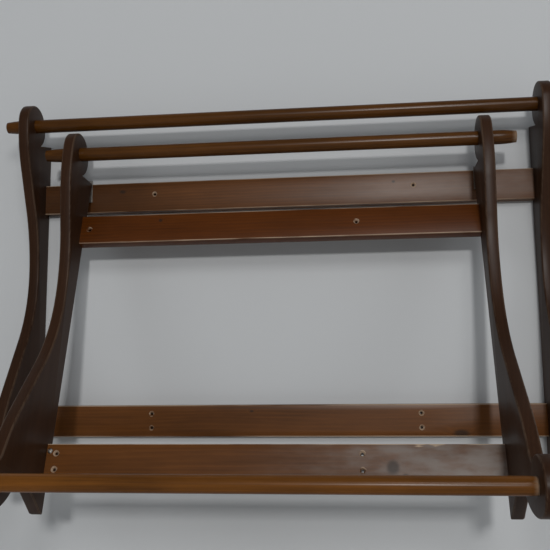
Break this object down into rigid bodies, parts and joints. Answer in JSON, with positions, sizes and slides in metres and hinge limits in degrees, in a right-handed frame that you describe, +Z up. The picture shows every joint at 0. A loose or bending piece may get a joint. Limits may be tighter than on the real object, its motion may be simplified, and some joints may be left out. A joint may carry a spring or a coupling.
{
  "type": "wall mounted fold-down drying rack",
  "caption": "Wall rack of two wooden frames: a fixed frame with shaped sides, boards and a top dowel, and a narrower one of the same pattern with a front dowel too, hinged to swing out from it.",
  "frame": {"origin": "on the wall plane, midway between the two wall screw holes of the fixed frame's upper board", "axes": "+X to the right along the wall, +Y into the wall, so the rack stands out towards -Y, and +Z up"},
  "size_m": [1.058, 0.443, 0.7433],
  "materials": {
    "dark_wood": "dark brown stain under gloss varnish",
    "red_wood": "red-brown stain under gloss varnish",
    "dowel_wood": "orange-brown stain under gloss varnish, worn paler at the ends",
    "steel": "dull zinc-plated steel"
  },
  "bodies": {
    "wall_frame": {"outer_left_side": "dark_wood", "outer_right_side": "dark_wood", "outer_upper_board": "red_wood", "outer_lower_board": "red_wood", "outer_top_dowel": "dowel_wood", "outer_dowel_brads": "steel", "left_hinge_wall_leaf": "steel", "right_hinge_wall_leaf": "steel", "left_hinge_pin": "steel", "right_hinge_pin": "steel", "hinge_wall_screws": "steel"},
    "swing_frame": {"inner_left_side": "dark_wood", "inner_right_side": "dark_wood", "inner_upper_board": "red_wood", "inner_lower_board": "red_wood", "inner_top_dowel": "dowel_wood", "inner_front_dowel": "dowel_wood", "inner_dowel_brads": "steel", "left_hinge_frame_leaf": "steel", "right_hinge_frame_leaf": "steel", "hinge_frame_screws": "steel", "corner_screw": "steel"}
  },
  "joints": [
    {"name": "frame_swing", "type": "hinge", "parent": "wall_frame", "child": "swing_frame", "pos_m": [0, -0.0216, 0.0275], "axis": [-1, 0, 0], "range_deg": [-17.5, 11]}
  ]
}
